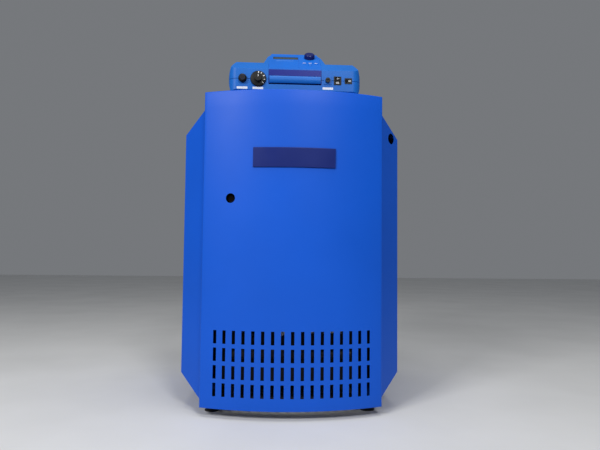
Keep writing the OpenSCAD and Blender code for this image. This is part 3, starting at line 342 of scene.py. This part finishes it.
MATERIALS = {
    "casing_paint": powder_coat("powder_blue", BLUE),
    "base_paint": powder_coat("base_black", (0.012, 0.012, 0.013), 0.5, 0.4),
    "plate_navy": plastic("plate_navy", NAVY, 0.38, 0.15),
    "control_plastic": plastic("control_blue", CONTROL_BLUE, 0.42),
    "module_plastic": plastic("module_blue", MODULE_BLUE, 0.40),
    "band_plastic": plastic("band_blue", BAND_BLUE, 0.35, 0.15),
    "knob_plastic": plastic("knob_navy", KNOB_NAVY, 0.3, 0.2),
    "display": lcd("display_dark"),
    "black_plastic": plastic("black_moulding", BLACK, 0.40),
    "board": circuit("board_green"),
    "zinc_steel": sheet_metal("zinc_sheet", (0.50, 0.51, 0.53), 0.38, (6, 6, 6), 0.35),
    "flue_steel": sheet_metal("aluminised_sheet", (0.46, 0.47, 0.48), 0.36, (3, 3, 50)),
    "burner_steel": sheet_metal("burner_sheet", (0.36, 0.34, 0.31), 0.32, (60, 3, 60)),
    "cast_iron": cast_iron("cast_iron"),
    "insulation": foil_wool("foil_wool"),
    "pipe_steel": sheet_metal("pipe_steel", (0.16, 0.16, 0.17), 0.42, (70, 3, 70)),
    # Painted shade: this black enamel stands in for the shade inside the burner compartment behind
    # the front panel's slots
    "burner_enamel": powder_coat("burner_enamel", (0.012, 0.012, 0.013), 0.55, 0.4),
    "gas_pipe_paint": powder_coat("pipe_black", (0.016, 0.016, 0.017), 0.4),
    "brass": sheet_metal("brass", (0.62, 0.42, 0.15), 0.25, (50, 4, 50)),
    "handle_red": plastic("handle_red", (0.42, 0.012, 0.010), 0.4),
    "valve_metal": sheet_metal("die_cast", (0.42, 0.43, 0.45), 0.5, (20, 20, 20)),
    "ceramic": plastic("ceramic", (0.72, 0.70, 0.64), 0.2, 0.05),
    "button_red": plastic("button_dark", (0.020, 0.006, 0.006), 0.35),
}
WHITE_INK = printed("white_ink", (0.78, 0.79, 0.80))
FAINT_INK = printed("faint_ink", (0.16, 0.34, 0.70))
LABEL = printed("label_white", (0.72, 0.76, 0.84))
LCD_FIELD = lcd("lcd_field", (0.030, 0.045, 0.050))
# Black patches for the screws' cross recesses: painted shade, not a colour of the screws
RECESS_SHADE = printed("recess_shade", (0.01, 0.01, 0.01), 0.7)


# ---------- mesh tools ----------

def link(mesh, name, material):
    obj = bpy.data.objects.new(name, mesh)
    bpy.context.scene.collection.objects.link(obj)
    mesh.materials.append(material)
    return obj


def from_bmesh(bm, name, material, smooth=40):
    """Makes an object of bm, smooth except where faces meet at more than smooth degrees"""
    bmesh.ops.recalc_face_normals(bm, faces=bm.faces)
    limit = math.radians(smooth)
    for face in bm.faces:
        face.smooth = True
    for edge in bm.edges:
        edge.smooth = len(edge.link_faces) == 2 and edge.calc_face_angle(0.0) < limit
    mesh = bpy.data.meshes.new(name)
    bm.to_mesh(mesh)
    bm.free()
    return link(mesh, name, material)


def cad_bmesh(node):
    """The node's mesh with its vertices welded and its flat faces joined again"""
    source = NODES[node].data
    bm = bmesh.new()
    verts = [bm.verts.new(v.co) for v in source.vertices]
    bm.verts.index_update()
    for poly in source.polygons:
        corners = [verts[i] for i in poly.vertices]
        if len(set(corners)) == len(corners):
            try:
                bm.faces.new(corners)
            except ValueError:
                pass
    bmesh.ops.remove_doubles(bm, verts=bm.verts, dist=2e-6)
    bmesh.ops.dissolve_limit(bm, angle_limit=math.radians(0.4), verts=bm.verts, edges=bm.edges,
                             delimit={"NORMAL"})
    return bm


def modified(obj, kind, **settings):
    """Applies one modifier to obj's mesh"""
    mod = obj.modifiers.new(kind.lower(), kind)
    for key, value in settings.items():
        setattr(mod, key, value)
    bpy.context.view_layer.update()
    evaluated = obj.evaluated_get(bpy.context.evaluated_depsgraph_get())
    mesh = bpy.data.meshes.new_from_object(evaluated)
    obj.modifiers.clear()
    old = obj.data
    obj.data = mesh
    bpy.data.meshes.remove(old)


def dress(obj, body, slot=None, *replaced):
    """Ties obj to its body and hides the nodes that it stands for; slot is not used"""
    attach(obj, body)
    if replaced:
        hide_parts(*replaced)


def soften(node, width, shape=None):
    """A copy of a CAD node with rounded edges, which stands for it"""
    slot = SLOT_OF[node]
    bm = cad_bmesh(node)
    if shape:
        shape(bm)
    obj = from_bmesh(bm, node + "_rounded", MATERIALS[slot])
    modified(obj, "BEVEL", width=width, segments=BEVEL_SEGMENTS, limit_method="ANGLE",
             angle_limit=BEVEL_ANGLE, use_clamp_overlap=True, harden_normals=True,
             miter_outer="MITER_ARC")
    dress(obj, BODY_OF[node], slot, node)


def open_seam(z, shift):
    """Moves the rim that lies at height z, so that the parting line shows"""
    def shape(bm):
        for vert in bm.verts:
            if abs(vert.co.z - z) < 0.2 * MM:
                vert.co.z += shift
    return shape


def patch(name, frame, points, material, body, thick=INK):
    """A thin closed plate from a 2-D outline in the frame's XY, raised along its +Z"""
    bm = bmesh.new()
    low = [bm.verts.new(frame @ Vector((x, y, 0))) for x, y in points]
    top = [bm.verts.new(frame @ Vector((x, y, thick))) for x, y in points]
    bm.faces.new(list(reversed(low)))
    bm.faces.new(top)
    for i in range(len(points)):
        j = (i + 1) % len(points)
        bm.faces.new((low[i], low[j], top[j], top[i]))
    dress(from_bmesh(bm, name, material), body)


def ring_patch(name, frame, outer, inner, material, body):
    """A thin closed ring about the frame's Z axis"""
    bm = bmesh.new()
    turns = [2 * math.pi * i / RING_STEPS for i in range(RING_STEPS)]
    loops = [[bm.verts.new(frame @ Vector((r * math.cos(t), r * math.sin(t), h))) for t in turns]
             for r, h in ((outer, 0), (outer, INK), (inner, INK), (inner, 0))]
    for a, b in zip(loops, loops[1:] + loops[:1]):
        for i in range(RING_STEPS):
            j = (i + 1) % RING_STEPS
            bm.faces.new((a[i], a[j], b[j], b[i]))
    dress(from_bmesh(bm, name, material), body)


TREES = {}


def surface(node, start, direction):
    """A frame on the node where a line from start meets it: X right, Y up, Z outward"""
    if node not in TREES:
        TREES[node] = BVHTree.FromPolygons([v.co for v in NODES[node].data.vertices],
                                           [tuple(p.vertices) for p in NODES[node].data.polygons])
    direction = Vector(direction).normalized()
    place, normal, _, _ = TREES[node].ray_cast(Vector(start), direction)
    if normal.dot(direction) > 0:
        normal = -normal
    right = Vector((0, 0, 1)).cross(normal).normalized()
    tall = normal.cross(right)
    frame = Matrix((right, tall, normal)).transposed().to_4x4()
    frame.translation = place - normal * SINK
    return frame


def rect(w, h, x=0.0, y=0.0):
    return [(x - w / 2, y - h / 2), (x + w / 2, y - h / 2), (x + w / 2, y + h / 2),
            (x - w / 2, y + h / 2)]


def rounded_rect(w, h, r, steps=4):
    points = []
    for sx, sy, start in ((1, -1, -90), (1, 1, 0), (-1, 1, 90), (-1, -1, 180)):
        for i in range(steps + 1):
            t = math.radians(start + 90 * i / steps)
            points.append((sx * (w / 2 - r) + r * math.cos(t),
                           sy * (h / 2 - r) + r * math.sin(t)))
    return points


# ---------- front panel ----------

def bow_point(arc, z, depth=0.0):
    """The point at arc metres along the panel's curve, depth behind its outside"""
    angle = arc / BOW_R
    r = BOW_R - depth
    return Vector((r * math.sin(angle), BOW_CY - r * math.cos(angle), z))


def spread(low, high, step):
    count = max(1, round((high - low) / step))
    return [low + (high - low) * i / count for i in range(count + 1)]


def grid_lines(stops, step):
    """Sorted grid values through all stops and no further apart than step"""
    stops = sorted(stops)
    lines = [stops[0]]
    for a, b in zip(stops, stops[1:]):
        if b - a > 1e-6:
            lines += spread(a, b, step)[1:]
    return lines


def front_panel():
    """The bowed sheet with its slots, round hole, rounded bends and four returns"""
    end = BOW_ANGLE * BOW_R
    hole_s = math.asin(HOLE_X / BOW_R) * BOW_R
    fine = [i * HOLE_MARGIN / 4 for i in range(-4, 5)]
    cols = [(c - (SLOT_COLS - 1) / 2) * SLOT_PITCH for c in range(SLOT_COLS)]
    rows = [PANEL_LOW.z + SLOT_START + r * SLOT_ROW_PITCH for r in range(SLOT_ROWS)]
    s_stops = [-end, end] + [hole_s + f for f in fine]
    s_stops += [c + side * SLOT_W / 2 for c in cols for side in (-1, 1)]
    z_stops = [PANEL_LOW.z, PANEL_HIGH.z] + [HOLE_Z + f for f in fine]
    z_stops += [r + side * SLOT_H / 2 for r in rows for side in (-1, 1)]
    s_lines = grid_lines(s_stops, GRID_S)
    z_lines = grid_lines(z_stops, GRID_Z)
    bm = bmesh.new()
    grid = [[bm.verts.new(bow_point(s, z)) for z in z_lines] for s in s_lines]

    def is_open(s, z):
        in_slot = any(abs(s - c) < SLOT_W / 2 for c in cols) and any(
            abs(z - r) < SLOT_H / 2 for r in rows)
        return in_slot or (abs(s - hole_s) < HOLE_MARGIN and abs(z - HOLE_Z) < HOLE_MARGIN)

    for i, (s0, s1) in enumerate(zip(s_lines, s_lines[1:])):
        for j, (z0, z1) in enumerate(zip(z_lines, z_lines[1:])):
            if not is_open((s0 + s1) / 2, (z0 + z1) / 2):
                bm.faces.new((grid[i][j], grid[i + 1][j], grid[i + 1][j + 1], grid[i][j + 1]))
    # ring of faces between the round hole and the square cut out of the grid
    m, fine = HOLE_MARGIN, fine[:-1]
    square = [(m, f) for f in fine] + [(-f, m) for f in fine]
    square += [(-m, -f) for f in fine] + [(f, -m) for f in fine]
    nearest = {}
    for i, s in enumerate(s_lines):
        for j, z in enumerate(z_lines):
            nearest[(round(s - hole_s, 6), round(z - HOLE_Z, 6))] = grid[i][j]
    outer = [nearest[(round(a, 6), round(b, 6))] for a, b in square]
    inner = []
    for a, b in square:
        turn = math.atan2(b, a)
        inner.append(bm.verts.new(bow_point(hole_s + HOLE_R * math.cos(turn),
                                            HOLE_Z + HOLE_R * math.sin(turn))))
    for k in range(len(outer)):
        n = (k + 1) % len(outer)
        bm.faces.new((outer[k], outer[n], inner[n], inner[k]))
    # returns along the top and bottom, and back from the side edges
    for row, z in ((len(z_lines) - 1, PANEL_HIGH.z), (0, PANEL_LOW.z)):
        back = [bm.verts.new(bow_point(s, z, PANEL_RETURN)) for s in s_lines]
        for i in range(len(s_lines) - 1):
            bm.faces.new((grid[i][row], grid[i + 1][row], back[i + 1], back[i]))
    for column in (0, len(s_lines) - 1):
        line = grid[column]
        side = [bm.verts.new(Vector((v.co.x, PANEL_HIGH.y, v.co.z))) for v in line]
        for j in range(len(line) - 1):
            bm.faces.new((line[j], line[j + 1], side[j + 1], side[j]))
    bmesh.ops.recalc_face_normals(bm, faces=bm.faces)
    front = min(bm.faces, key=lambda f: f.calc_center_median().y)
    if front.normal.y > 0:
        bmesh.ops.reverse_faces(bm, faces=bm.faces)
    bends = [e for e in bm.edges if len(e.link_faces) == 2 and e.calc_face_angle(0) > 0.9]
    bmesh.ops.bevel(bm, geom=bends, offset=BEND_R, segments=4, profile=0.5, affect="EDGES",
                    clamp_overlap=True)
    mesh = bpy.data.meshes.new("front_sheet")
    bm.to_mesh(mesh)
    bm.free()
    obj = link(mesh, "front_sheet", MATERIALS["casing_paint"])
    modified(obj, "SOLIDIFY", thickness=PANEL_SHEET, offset=-1.0, use_even_offset=True)
    bm = bmesh.new()
    bm.from_mesh(obj.data)
    bpy.data.objects.remove(obj)
    obj = from_bmesh(bm, "front_panel_rounded", MATERIALS["casing_paint"], 50)
    dress(obj, "front_panel", "casing_paint", "front_panel")


# ---------- control unit details ----------

def front_of(node, x, z):
    return surface(node, (x, -1.0, z), (0, 1, 0))


def on_slope(node, place):
    return surface(node, place + SLOPE_OUT * RAY_START, -SLOPE_OUT)


def middle(node):
    low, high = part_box(node)
    return (low + high) / 2


def labels():
    """Three bare paper labels below the controls"""
    places = (("limiter_cap", -1.0, 6.8), ("thermostat_dial", -1.0, 6.8),
              ("fuse_cap", 0.5, 10.3))
    for number, (node, dx, dz) in enumerate(places):
        frame = front_of("control_base", middle(node).x + dx * MM, BASE_LOW.z + FOOT + dz * MM)
        patch("label_%d" % (number + 1), frame, rounded_rect(*LABEL_SIZE, LABEL_CORNER), LABEL,
              "casing")


def dial_marks():
    """Ticks round the dial, long and short by turns, and a pointer"""
    centre = middle("thermostat_dial")
    for number, angle in enumerate(DIAL_MARK_ANGLES):
        t = math.radians(angle)
        frame = front_of("thermostat_dial", centre.x + DIAL_MARK_R * math.cos(t),
                         centre.z + DIAL_MARK_R * math.sin(t))
        turn = frame @ Matrix.Rotation(t, 4, "Z")
        long = 5.2 * MM if number % 2 == 0 else 4.0 * MM
        patch("dial_mark_%d" % (number + 1), turn, rect(long, 1.9 * MM), WHITE_INK,
              "thermostat_dial")
    frame = front_of("thermostat_dial", centre.x, centre.z)
    patch("dial_pointer", frame, rect(1.3 * MM, 5.5 * MM, 0, 5.2 * MM), WHITE_INK,
          "thermostat_dial")


def limiter_mark():
    """Ring on the cap's face"""
    centre = middle("limiter_cap")
    frame = front_of("limiter_cap", centre.x, centre.z)
    ring_patch("limiter_ring", frame, 5.4 * MM, 4.8 * MM, MATERIALS["knob_plastic"],
               "limiter_cap")


def key_marks():
    """Plain printed signs on the keys: two blocks joined by a bar"""
    for node, w, h in (("key_left", 8.0, 2.6), ("key_middle", 8.0, 3.2),
                       ("key_right", 8.0, 2.6), ("key_small", 6.0, 2.2)):
        frame = on_slope(node, middle(node))
        ink = FAINT_INK if node == "key_small" else WHITE_INK
        side = (w * MM - KEY_SIGN_END) / 2
        parts = [rect(KEY_SIGN_END, h * MM, -side), rect(KEY_SIGN_END, h * MM, side),
                 rect(w * MM - 2 * KEY_SIGN_END, KEY_SIGN_BAR)]
        for number, points in enumerate(parts):
            patch("%s_sign_%d" % (node, number + 1), frame, points, ink, node)


def rocker_marks():
    """Plain signs on both rockers"""
    body = "mode_rocker"
    centre = middle(body)
    upper = front_of(body, centre.x, centre.z + 6.0 * MM)
    lower = front_of(body, centre.x, centre.z - 5.6 * MM)
    ring_patch("mode_sign_upper", upper, 2.0 * MM, 1.1 * MM, WHITE_INK, body)
    patch("mode_sign_upper_bar", upper, rect(2.2 * MM, 1.2 * MM, 3.6 * MM), WHITE_INK, body)
    for name, y in (("mode_sign_lower", 1.4 * MM), ("mode_sign_lower_bar", -1.4 * MM)):
        patch(name, lower, rect(8.0 * MM, 1.3 * MM, 0, y), WHITE_INK, body)
    body = "main_rocker"
    centre = middle(body)
    ring = front_of(body, centre.x + 4.6 * MM, centre.z)
    ring_patch("main_sign_off", ring, 2.5 * MM, 1.6 * MM, WHITE_INK, body)
    bar = front_of(body, centre.x + 0.9 * MM, centre.z)
    patch("main_sign_on", bar, rect(1.1 * MM, 5.0 * MM), WHITE_INK, body)


def display_details():
    """The field inside the display window, and a pale printed line on the module below it"""
    low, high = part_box("display_window")
    centre = (low + high) / 2
    frame = on_slope("display_window", centre)
    w = high.x - low.x
    h = (high.z - low.z) / math.sin(SLOPE)
    patch("display_field", frame, rounded_rect(w - 6 * MM, h * 0.62, 1.0 * MM), LCD_FIELD,
          "casing")
    foot = Vector((centre.x - 3 * MM, MODULE_LOW.y, SLOPE_Z))
    rise = Vector((0, math.cos(SLOPE), math.sin(SLOPE))) * PRINT_S
    line = on_slope("display_module", foot + rise)
    patch("module_print", line, rect(*PRINT_SIZE), FAINT_INK, "casing")


def screw_heads():
    """Cross recesses in the casing screws' heads at the back, drawn as thin black patches: painted
    shade where the recesses would be
    """
    low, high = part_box("casing_screws")
    for x in (low.x + SCREW_INSET, high.x - SCREW_INSET):
        for z in SCREW_ZS:
            frame = surface("casing_screws", (x, 1.0, z), (0, -1, 0))
            for turn in (0, 90):
                spin = frame @ Matrix.Rotation(math.radians(45 + turn), 4, "Z")
                patch("screw_slot_shade", spin, rect(5.6 * MM, 1.0 * MM), RECESS_SHADE, "casing",
                      0.1 * MM)


def thread(node, slot):
    """Thread ridges on the rear end of a pipe"""
    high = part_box(node)[1]
    ends = [v.co for v in NODES[node].data.vertices if abs(v.co.y - high.y) < 0.05 * MM]
    left, right = min(v.x for v in ends), max(v.x for v in ends)
    x, z, r = (left + right) / 2, sum(v.z for v in ends) / len(ends), (right - left) / 2
    profile = ((0, -THREAD_SINK), (THREAD_PITCH / 2, THREAD_DEPTH), (THREAD_PITCH, -THREAD_SINK))
    bm = bmesh.new()
    rows = []
    for i in range(int(THREAD_LENGTH[node] / THREAD_PITCH - 1) * THREAD_STEPS + 1):
        t = 2 * math.pi * i / THREAD_STEPS
        y = high.y - THREAD_LENGTH[node] + THREAD_PITCH * i / THREAD_STEPS
        rows.append([bm.verts.new((x + (r + dr) * math.cos(t), y + dy, z + (r + dr) * math.sin(t)))
                     for dy, dr in profile])
    for a, b in zip(rows, rows[1:]):
        for k in range(2):
            bm.faces.new((a[k], a[k + 1], b[k + 1], b[k]))
    dress(from_bmesh(bm, node + "_thread", MATERIALS[slot], 20), "casing", slot)


# ---------- stage ----------

def camera():
    """Eye height and distance of a person standing back from the boiler"""
    place = Vector((-0.061, EDGE_Y - 1.465, 0.4215))
    yaw, pitch, roll = (math.radians(a) for a in (3.10, 3.17, 0.586))
    ahead = Vector((math.sin(yaw) * math.cos(pitch), math.cos(yaw) * math.cos(pitch),
                    math.sin(pitch)))
    right = Vector((math.cos(yaw), -math.sin(yaw), 0))
    up = right.cross(ahead)
    side = right * math.cos(roll) + up * math.sin(roll)
    top = up * math.cos(roll) - right * math.sin(roll)
    data = bpy.data.cameras.new("camera")
    data.lens, data.sensor_width = 33.0, 36.0
    obj = bpy.data.objects.new("camera", data)
    obj.matrix_world = Matrix.Translation(place) @ Matrix(
        (side, top, -ahead)).transposed().to_4x4()
    bpy.context.scene.collection.objects.link(obj)
    bpy.context.scene.camera = obj


# name, place, target, size, watts
LIGHTS = (
    ("key", (-2.1, -2.9, 2.3), (0, -0.3, 0.6), (1.1, 0.9), 78),
    ("top", (0.7, -3.3, 2.5), (0.05, -0.3, 0.7), (0.6, 0.5), 46),
    ("overhead", (0.0, -0.9, 3.0), (0.0, -0.2, 0.5), (1.4, 1.0), 25),
)
FLOOR_HALF = 9.0


def area_light(name, place, target, size, watts):
    data = bpy.data.lights.new(name, "AREA")
    data.shape = "RECTANGLE"
    data.size, data.size_y = size
    data.energy = watts
    obj = bpy.data.objects.new(name, data)
    obj.location = place
    obj.rotation_euler = (Vector(target) - Vector(place)).to_track_quat("-Z", "Y").to_euler()
    bpy.context.scene.collection.objects.link(obj)


def stage():
    """Pale floor, world and lights"""
    floor_mesh = bpy.data.meshes.new("floor")
    r = FLOOR_HALF
    floor_mesh.from_pydata([(-r, -r, 0), (r, -r, 0), (r, r, 0), (-r, r, 0)], [], [(0, 1, 2, 3)])
    s = Shader("pale_floor")
    tone = s.ramp(s.noise(2.5, 4), [(0.3, (0.70, 0.70, 0.69)), (0.7, (0.76, 0.76, 0.75))])
    s.link(tone, s.bsdf.inputs["Base Color"])
    s.set(Roughness=0.7)
    floor = link(floor_mesh, "floor", s.mat)
    world = bpy.data.worlds.new("studio")
    world.use_nodes = True
    sky = world.node_tree.nodes["Background"]
    sky.inputs["Color"].default_value = (0.90, 0.94, 1.0, 1)
    sky.inputs["Strength"].default_value = 0.20
    bpy.context.scene.world = world
    for light in LIGHTS:
        area_light(*light)
    bpy.context.scene.view_settings.view_transform = "Standard"


camera()
stage()
for node, obj in NODES.items():
    obj.data.materials.clear()
    obj.data.materials.append(MATERIALS[SLOT_OF[node]])
front_panel()
EDGES = (   # width of the rounding in millimetres, and its nodes
    (1.2, "side_panel_left side_panel_right"),
    (1.0, "top_cover_front top_cover_rear base_frame gas_valve"),
    (0.6, "rear_panel upper_crossbar badge_plate burner_plate foot_front_left foot_front_right "
          "foot_rear_left foot_rear_right"),
    (0.5, "service_panel fuse_holder mode_switch_frame main_switch_frame casing_screws "
          "burner_frame ignition_control circuit_board burner_chamber"),
    (0.4, "mode_rocker main_rocker fuse_cap key_left key_middle key_right key_small "
          "gas_valve_knob orifices pilot_assembly tie_rods drain_cock drain_handle"),
    (0.8, "flue_collector draught_diverter module_flap"),
    (1.4, "display_module"),
    (1.5, "control_base"),
    (2.0, "control_cover end_section_left end_section_right middle_sections"),
    (4.0, "insulation_jacket"),
    (0.5, "thermostat_dial"),
    (0.4, "limiter_cap"),
    (0.8, "selector_knob"),
)
SEAMS = {"control_base": open_seam(PART_Z, -SEAM_GAP),
         "control_cover": open_seam(COVER_LOW.z, SEAM_GAP)}
for width, names in EDGES:
    for node in names.split():
        soften(node, width * MM, SEAMS.get(node))
labels()
dial_marks()
limiter_mark()
key_marks()
rocker_marks()
display_details()
screw_heads()
thread("flow_pipe", "pipe_steel")
thread("return_pipe", "pipe_steel")
thread("gas_pipe", "gas_pipe_paint")
